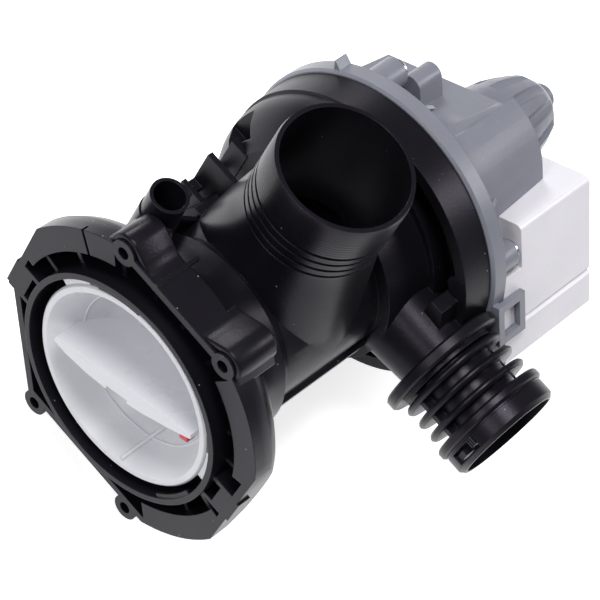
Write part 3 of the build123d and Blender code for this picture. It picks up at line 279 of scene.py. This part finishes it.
# Two sintered bronze bushes carry the shaft. The rear one sits in a rubber mount, the front one in the
# grey bearing plate, with a rubber lip seal in front of it that keeps the water off.
BRONZE, BRONZE_DARK = "#A8855A", "#80623C"
RUBBER_BLACK, RUBBER_DUSTY = "#101011", "#1A1A1B"
PLATE_GREY, PLATE_GREY_LIGHT = "#6F717B", "#7A7C86"
FIBRE_LIGHT, FIBRE_MM, FIBRE_FROM, FIBRE_FULL, FIBRE_COVER = "#8B8D98", 2.2, 0.58, 0.80, 0.35

# Sintered bronze: brown-gold, porous and oily, so it is dull with a fine grain.
bronze = plain_metal("sintered bronze", BRONZE, BRONZE_DARK, roughness=0.48, scratch_mm=0.6, bump_height=0.25)
dress("front_bearing", bronze)
dress("rear_bearing", bronze)

# Moulded nitrile rubber: black and dull all over, with a trace of talc.
rubber = moulded("moulded nitrile rubber black", RUBBER_BLACK, RUBBER_DUSTY, roughness=0.6, cloud_mm=25,
                 grain_height=0.2, ior=1.52)
dress("bearing_mount", rubber)
dress("shaft_seal", rubber)


def lay_over(material, colour, cover):
    """Lays a colour over a material's tone, by the share that an output gives."""
    tree = material.node_tree
    base = tree.nodes["skin"].inputs["Base Color"]
    mixed = add(tree, "ShaderNodeMix", {"data_type": "RGBA", 7: linear(colour)},
                {0: cover, 6: base.links[0].from_socket})
    tree.links.new(base, mixed.outputs[2])


# Glass-filled polypropylene, grey: blueish and satin, with the faint light smudges that the glass fibres
# leave where the plastic flowed in the mould.
grey_plastic = moulded("moulded glass-filled polypropylene grey", PLATE_GREY, PLATE_GREY_LIGHT,
                       roughness=0.38, cloud_mm=18, grain_mm=0.6, grain_height=0.10)
tree = grey_plastic.node_tree
fibres = add(tree, "ShaderNodeTexNoise",
             {"Scale": 1000 / FIBRE_MM, "Detail": 5.0, "Roughness": 0.7, "Distortion": 1.5},
             {"Vector": tree.nodes["coords"].outputs["Object"]})
smudges = add(tree, "ShaderNodeMapRange",
              {"From Min": FIBRE_FROM, "From Max": FIBRE_FULL, "To Max": FIBRE_COVER},
              {"Value": fibres.outputs["Fac"]})
lay_over(grey_plastic, FIBRE_LIGHT, smudges.outputs["Result"])
dress("bearing_plate", grey_plastic)


# The motor's case is three grey mouldings: the round flange in front with the rotor's can, the angular
# shell round the core, and the fluted cap at the back, which closes the end of the can.
dress("motor_flange", grey_plastic)
dress("stator_shell", grey_plastic)
dress("rear_cap", grey_plastic)


# The pump housing is one injection moulding of black polypropylene: filter chamber, inlet, outlet, hose
# nipple and volute. It is moulded with sliding cores, and the motor's flange is screwed to its open rim.
HOUSING_PURPLE, HOUSING_GREEN, HOUSING_SHEEN = "#141018", "#101314", "#E2D8EC"
SPECK_GREY, SPECK_COVER = "#8E8E92", 0.8
SPECK_SPACING_MM, SPECK_MM, SPECK_CORE_MM = 6.0, 0.28, 0.168
GRAIN_MM, CLOUD_MM = 0.35, 42
INLET_AXIS_Y, INLET_R, INLET_SLACK = 0.0590, 0.0220, 0.0009
TURNED_LOW, TURNED_HIGH = 0.0540, 0.0665
TURNED_MM, TURNED_STEP_MM, TURNED_STRENGTH, TURNED_WAVER = 1.25, 0.12, 0.22, 0.3

# Moulded polypropylene, black: deep and satin, purplish or greenish where the light grazes it, with a few
# light specks of dust, where the middle of a cell of the pattern comes near the surface.
black_plastic = moulded("moulded polypropylene black", HOUSING_PURPLE, HOUSING_GREEN, roughness=0.33,
                        cloud_mm=CLOUD_MM, grain_mm=GRAIN_MM, grain_height=0.12, specular=0.20)
tree = black_plastic.node_tree
skin, where = tree.nodes["skin"], tree.nodes["coords"].outputs["Object"]
skin.inputs["Specular Tint"].default_value = linear(HOUSING_SHEEN)
cells = add(tree, "ShaderNodeTexVoronoi", {"Scale": 1000 / SPECK_SPACING_MM}, {"Vector": where})
speck = add(tree, "ShaderNodeMapRange",
            {"From Min": SPECK_CORE_MM / SPECK_SPACING_MM, "From Max": SPECK_MM / SPECK_SPACING_MM,
             "To Min": SPECK_COVER, "To Max": 0.0}, {"Value": cells.outputs["Distance"]})
lay_over(black_plastic, SPECK_GREY, speck.outputs["Result"])

# The inlet's mould was turned on a lathe, so fine lines run round the spigot: a wave along its height, only
# where a point is about the inlet's radius from its axis and between the two heights.
parts = add(tree, "ShaderNodeSeparateXYZ", links={"Vector": where})
from_axis = add(tree, "ShaderNodeMath", {"operation": "SUBTRACT", 1: INLET_AXIS_Y}, {0: parts.outputs["Y"]})
flat = add(tree, "ShaderNodeCombineXYZ", links={"X": parts.outputs["X"], "Y": from_axis.outputs[0]})
radius = add(tree, "ShaderNodeVectorMath", {"operation": "LENGTH"}, {0: flat.outputs[0]})
on_tube = add(tree, "ShaderNodeMath", {"operation": "COMPARE", 1: INLET_R, 2: INLET_SLACK},
              {0: radius.outputs["Value"]})
in_band = add(tree, "ShaderNodeMath", {"operation": "COMPARE", 1: (TURNED_LOW + TURNED_HIGH) / 2,
                                       2: (TURNED_HIGH - TURNED_LOW) / 2}, {0: parts.outputs["Z"]})
there = add(tree, "ShaderNodeMath", {"operation": "MULTIPLY"},
            {0: on_tube.outputs[0], 1: in_band.outputs[0]})
lines = add(tree, "ShaderNodeTexWave",
            {"bands_direction": "Z", "Scale": band_scale(TURNED_MM), "Distortion": TURNED_WAVER},
            {"Vector": where})
turned = add(tree, "ShaderNodeMath", {"operation": "MULTIPLY"},
             {0: there.outputs[0], 1: lines.outputs["Fac"]})
ridges = add(tree, "ShaderNodeBump", {"Strength": TURNED_STRENGTH, "Distance": TURNED_STEP_MM / 1000},
             {"Height": turned.outputs[0], "Normal": skin.inputs["Normal"].links[0].from_socket})
tree.links.new(skin.inputs["Normal"], ridges.outputs["Normal"])
dress("pump_housing", black_plastic)

# Two thin webs of the same moulding stiffen the hook plate and the hose nipple against the chamber.
WEB_THICK, WEB_ROUND, WEB_RINGS = 0.0018, 0.0006, 5
HOOK_WEB = ((-0.0352, 0.0124), (-0.0352, 0.0098), (-0.0316, 0.0010), (-0.0288, 0.0010), (-0.0262, 0.0124))
HOOK_WEB_Y = 0.0592
NIPPLE_WEB = ((0.0500, 0.0140), (0.0500, 0.0125), (0.0365, 0.0135), (0.0335, 0.0205), (0.0246, 0.0205),
              (0.0246, 0.0390))
NIPPLE_WEB_X = -0.0260
WEBS = (("hook_web", HOOK_WEB, HOOK_WEB_Y, 1), ("nipple_web", NIPPLE_WEB, NIPPLE_WEB_X, 0))


def unit(vectors):
    """Each vector over its own length."""
    return vectors / np.linalg.norm(vectors, axis=-1, keepdims=True)


def ringed(name, points, material, flipped=False, closed=False, smooth=False):
    """A new piece from a grid of points, one row for each ring: four-cornered faces join each ring to the
    next, and flat faces close the two ends, unless the last ring joins the first. Flipped turns the faces
    round, for rings that run the other way, and smooth shades all but the ends."""
    rows, count = points.shape[:2]
    row, place = np.meshgrid(np.arange(rows if closed else rows - 1), np.arange(count), indexing="ij")
    next_row, after = (row + 1) % rows, (place + 1) % count
    quads = np.stack([row * count + place, row * count + after, next_row * count + after,
                      next_row * count + place], axis=-1).reshape(-1, 4)
    ends = np.stack([np.arange(count)[::-1], np.arange(count) + (rows - 1) * count])
    faces = quads.tolist() + ([] if closed else ends.tolist())
    mesh = bpy.data.meshes.new(name)
    mesh.from_pydata(points.reshape(-1, 3).tolist(), [], [face[::-1] if flipped else face for face in faces])
    if smooth:
        mesh.polygons.foreach_set("use_smooth", np.arange(len(faces)) < len(quads))
    mesh.materials.append(material)
    piece = bpy.data.objects.new(name, mesh)
    bpy.context.scene.collection.objects.link(piece)
    return piece


def web(outline, middle, across):
    """The rings of a flat plate with rounded rims, which stands across an axis: the outline is drawn
    towards its own middle by the rim's radius times one less the cosine of a quarter turn, and the sine
    sets the ring's place through the plate, so the rings lie on a quarter circle at each face."""
    corners = np.array(outline)
    inward = unit(corners.mean(axis=0) - corners)
    quarter = np.linspace(np.pi / 2, 0, WEB_RINGS)
    turn = np.concatenate([quarter, -quarter[::-1]])
    depth = WEB_ROUND * np.sin(turn) + np.repeat([1, -1], WEB_RINGS) * (WEB_THICK / 2 - WEB_ROUND)
    flat = corners[None] + inward[None] * (WEB_ROUND * (1 - np.cos(turn)))[:, None, None]
    return np.insert(flat, across, middle + depth[:, None], axis=2)


for name, outline, middle, across in WEBS:
    stiffener = ringed(name, web(outline, middle, across), black_plastic)
    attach(stiffener, "pump")

# The rim's wall rises in a soft curve over each of the two upper screw bosses and down its outer side. The
# curve's points are in millimetres from the boss's centre, outwards and up.
BOSS_X, BOSS_Z = 0.0215, 0.0465
RISE = ((-12.0, 0.3), (-10.6, 0.4), (-9.0, 0.75), (-7.4, 1.5), (-5.8, 2.5), (-4.3, 3.3))
OVER_R, OVER_FROM, OVER_TO, OVER_COUNT = 4.9, 120, -8, 9
FALL = ((5.6, -2.0), (6.6, -3.6))
WRAP_HALF, WRAP_ROUND, WRAP_FRONT = 0.0011, 0.0008, 0.0008
WRAP_BACK_RIGHT, WRAP_BACK_LEFT = 0.0165, 0.0134
WRAPS = (("boss_wrap_right", 1, WRAP_BACK_RIGHT), ("boss_wrap_left", -1, WRAP_BACK_LEFT))
SPAN_POINTS, CORNER_POINTS = 4, 4


def through(points):
    """A curve through all the points: on each span a cubic, whose slope at a point is half the chord
    between its neighbours."""
    spots = np.vstack([2 * points[0] - points[1], points, 2 * points[-1] - points[-2]])
    before, start, end, after = spots[:-3, None], spots[1:-2, None], spots[2:-1, None], spots[3:, None]
    t = np.linspace(0, 1, SPAN_POINTS, endpoint=False)[:, None]
    spans = (2 * start + (end - before) * t + (2 * before - 5 * start + 4 * end - after) * t ** 2
             + (3 * start - before - 3 * end + after) * t ** 3) / 2
    return np.vstack([spans.reshape(-1, 2), points[-1]])


def boss_wrap(side, wrap_back):
    """The rings of a wall carried along a curve: at each point of the curve the profile, a rectangle with
    corners of quarter circles, stands on the curve's normal and on the pump's depth. The side mirrors it."""
    around = np.radians(np.linspace(OVER_FROM, OVER_TO, OVER_COUNT))
    over = OVER_R * np.column_stack([np.cos(around), np.sin(around)])
    path = through(np.vstack([RISE, over, FALL])) / 1000
    along = unit(np.gradient(path, axis=0))
    normal = np.column_stack([-along[:, 1], along[:, 0]])
    turn = np.linspace(0, np.pi / 2, CORNER_POINTS)[None] + np.arange(4)[:, None] * np.pi / 2
    outward = np.array([(1, 1), (-1, 1), (-1, -1), (1, -1)])
    out = outward[:, :1] * (WRAP_HALF - WRAP_ROUND) + WRAP_ROUND * np.cos(turn)
    depth = outward[:, 1:] * ((wrap_back - WRAP_FRONT) / 2 - WRAP_ROUND) + WRAP_ROUND * np.sin(turn)
    flat = path[:, None] + normal[:, None] * out.reshape(-1)[None, :, None]
    x = side * (BOSS_X + flat[..., 0])
    y = np.broadcast_to((WRAP_FRONT + wrap_back) / 2 + depth.reshape(-1)[None], x.shape)
    return np.stack([x, y, BOSS_Z + flat[..., 1]], axis=-1)


for name, side, wrap_back in WRAPS:
    wrap = ringed(name, boss_wrap(side, wrap_back), black_plastic, flipped=side > 0, smooth=True)
    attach(wrap, "pump")


# The gasket is a ring of black rubber of round section, laid in a groove of the housing's rim before the
# motor goes on, and squeezed by the screws.
dress("housing_gasket", rubber)


# The impeller is one white moulding with six straight vanes on a shroud and a hub, which turns freely on
# the shaft until the dog takes it along.
IMPELLER_WHITE, IMPELLER_SHADE = "#D8DADE", "#CBCDD3"

# Moulded polypropylene, natural white: satin and a little see-through at the vanes' edges.
impeller_plastic = moulded("moulded polypropylene natural", IMPELLER_WHITE, IMPELLER_SHADE, roughness=0.36,
                           cloud_mm=22, subsurface=0.05)
dress("impeller", impeller_plastic)


# Four self-cutting screws hold the motor on the housing. They are cold-headed steel, zinc plated, each with
# a flat round head and a cross recess.
SCREW_ZINC, SCREW_SHADE = "#CFD1D4", "#A4A6AA"

# Bright zinc plating: light and bluish, glossy, with a fine haze.
zinc = plain_metal("zinc plated steel", SCREW_ZINC, SCREW_SHADE, roughness=0.22, scratch_mm=1.5)
dress("motor_screws", zinc)


# The filter is a white cap with a grip across its bowl, a white strainer behind it, a black ring seal in
# its groove, and a red mark at the end of the grip. It is turned into the housing by hand.
CAP_WHITE, CAP_SHADE = "#DFE0E4", "#D5D6DB"
MARK_RED, MARK_DEEP = "#CC062A", "#B20524"
dress("filter_seal", rubber)

# Moulded polypropylene, white: slightly blue, clean and satin, and it glows a little at thin edges.
white_plastic = moulded("moulded polypropylene white", CAP_WHITE, CAP_SHADE, roughness=0.30, cloud_mm=26,
                        grain_height=0.06, subsurface=0.06)
dress("filter_cap", white_plastic)
dress("filter_strainer", white_plastic)

# The cap's bowl has a fine bead where its wall bends, and one low rib from its rim down towards the grip.
# The bowl's profile gives its radius and how far it lies behind the bosses' front, in millimetres.
BEND_R, BEND_DEPTH, BEND_STEPS = 25.7, 9.0, 96
BOWL_PROFILE = np.array([(0.0, 20.4), (14.5, 19.0), (21.5, 15.2), (BEND_R, BEND_DEPTH), (30.6, 0.6),
                         (31.6, -1.0)])
RIB_FROM, RIB_TO, RIB_STEPS = (11.9, -28.6), (13.9, -17.0), 24
BEAD_HALF, RIB_HALF, BEAD_POINTS = 0.4, 0.85, 12


def bead(flat_path, half, closed):
    """The rings of a round bead on the bowl: each point of the path takes its depth from the bowl's
    profile at its distance from the axis, and there a circle stands on the path's side and on the normal
    to both."""
    depth = np.interp(np.hypot(*flat_path.T), *BOWL_PROFILE.T)
    path = np.column_stack([flat_path[:, 0], depth, flat_path[:, 1]])
    if closed:
        along = unit(np.roll(path, -1, axis=0) - np.roll(path, 1, axis=0))
    else:
        along = unit(np.diff(path, axis=0, append=2 * path[-1:] - path[-2:-1]))
    side = unit(np.cross(along, (0.0, 1.0, 0.0)))
    lift = np.cross(side, along)
    turn = np.linspace(0, 2 * np.pi, BEAD_POINTS, endpoint=False)[None, :, None]
    return (path[:, None] + half * (np.cos(turn) * side[:, None] + np.sin(turn) * lift[:, None])) / 1000


circle = np.linspace(0, 2 * np.pi, BEND_STEPS, endpoint=False)
bend = BEND_R * np.column_stack([np.cos(circle), np.sin(circle)])
rib = np.linspace(RIB_FROM, RIB_TO, RIB_STEPS)
beads = (("bowl_bead", bend, BEAD_HALF, True), ("bowl_rib", rib, RIB_HALF, False))
for name, flat_path, half, closed in beads:
    relief = ringed(name, bead(flat_path, half, closed), white_plastic, flipped=True, closed=closed,
                    smooth=True)
    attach(relief, "filter")

# The same plastic dyed red: strong, even colour with the same satin skin.
red_plastic = moulded("moulded polypropylene red", MARK_RED, MARK_DEEP, roughness=0.34, cloud_mm=12,
                      grain_height=0.2)
dress("filter_mark", red_plastic)


# The pump lies on a plain white table, which is painted wood and dull. It is seen a little brighter than
# it is lit, so only the soft shadow under the pump shows on it.
TABLE_GAP, TABLE_REACH = 0.004, 3.0
TABLE_COLOUR, TABLE_GLOW, WHITE = "#F4F4F4", 0.74, "#FFFFFF"

# Painted table: dull white without any gloss.
table_paint = new_material("painted table white")
tree = table_paint.node_tree
paint = add(tree, "ShaderNodeBsdfDiffuse", {"Color": linear(TABLE_COLOUR)})
glow = add(tree, "ShaderNodeEmission", {"Color": linear(WHITE), "Strength": TABLE_GLOW})
both = add(tree, "ShaderNodeAddShader", links={0: paint.outputs[0], 1: glow.outputs[0]})
path = add(tree, "ShaderNodeLightPath")
seen = add(tree, "ShaderNodeMath", {"operation": "MAXIMUM"},
           {0: path.outputs["Is Camera Ray"], 1: path.outputs["Is Glossy Ray"]})
pick = add(tree, "ShaderNodeMixShader", links={0: seen.outputs[0], 1: paint.outputs[0], 2: both.outputs[0]})
add(tree, "ShaderNodeOutputMaterial", links={"Surface": pick.outputs[0]})

reach = np.array([(-1, -1), (1, -1), (1, 1), (-1, 1)]) * TABLE_REACH
corners = np.column_stack([reach, np.full(len(reach), cad_low.z - TABLE_GAP)])
table_mesh = bpy.data.meshes.new("table")
table_mesh.from_pydata(corners.tolist(), [], [(0, 1, 2, 3)])
table_mesh.materials.append(table_paint)
table = bpy.data.objects.new("table", table_mesh)
bpy.context.scene.collection.objects.link(table)


# The studio is a white tent, dim and even but white to the camera, with four soft round lamps: the key
# above, one at the left, one behind, and a weak one in front that lights the bowl of the cap. Each has its
# name, place, width in metres and power in watts.
TENT_TINT, TENT_LEVEL = "#ECEBF2", 0.26
LAMPS = (("key lamp", (-0.10, -0.12, 1.05), 0.40, 8.2),
         ("left lamp", (-0.85, 0.45, 0.45), 0.30, 3.2),
         ("rear lamp", (0.45, 0.70, 0.70), 0.35, 3.4),
         ("front lamp", (-0.10, -0.62, 0.62), 0.30, 2.1))
LAMP_AIM = (0.01, 0.08, 0.0)
tent = bpy.data.worlds.new("tent")
tent.use_nodes = True
tree = tent.node_tree
tree.nodes.clear()
path = add(tree, "ShaderNodeLightPath")
dim = add(tree, "ShaderNodeBackground", {"Color": linear(TENT_TINT), "Strength": TENT_LEVEL})
white = add(tree, "ShaderNodeBackground", {"Color": linear(WHITE), "Strength": 1.0})
pick = add(tree, "ShaderNodeMixShader",
           links={0: path.outputs["Is Camera Ray"], 1: dim.outputs[0], 2: white.outputs[0]})
add(tree, "ShaderNodeOutputWorld", links={"Surface": pick.outputs[0]})
bpy.context.scene.world = tent
for name, place, size, power in LAMPS:
    lamp = bpy.data.lights.new(name, "AREA")
    lamp.shape, lamp.size, lamp.energy = "DISK", size, power
    holder = bpy.data.objects.new(name, lamp)
    bpy.context.scene.collection.objects.link(holder)
    holder.location = place
    holder.rotation_euler = (Vector(LAMP_AIM) - Vector(place)).to_track_quat("-Z", "Y").to_euler()


# The camera has a long lens. It looks down on the pump from its front right, and is rolled to one side,
# so the filter's axis runs across the picture.
CAMERA_PLACE = (0.1583, -0.4517, 0.7414)
CAMERA_RIGHT = (0.65435, 0.67487, 0.34112)
CAMERA_UP = (-0.73853, 0.47345, 0.48000)
CAMERA_LENS, SENSOR, CLIP_NEAR, CLIP_FAR = 180.0, 36.0, 0.05, 20.0
bpy.context.scene.view_settings.view_transform = "Standard"
right, up = Vector(CAMERA_RIGHT).normalized(), Vector(CAMERA_UP).normalized()
back = right.cross(up).normalized()
camera_data = bpy.data.cameras.new("camera")
camera_data.lens, camera_data.sensor_width = CAMERA_LENS, SENSOR
camera_data.clip_start, camera_data.clip_end = CLIP_NEAR, CLIP_FAR
camera = bpy.data.objects.new("camera", camera_data)
bpy.context.scene.collection.objects.link(camera)
camera.matrix_world = Matrix.Translation(CAMERA_PLACE) @ Matrix((right, up, back)).transposed().to_4x4()
bpy.context.scene.camera = camera
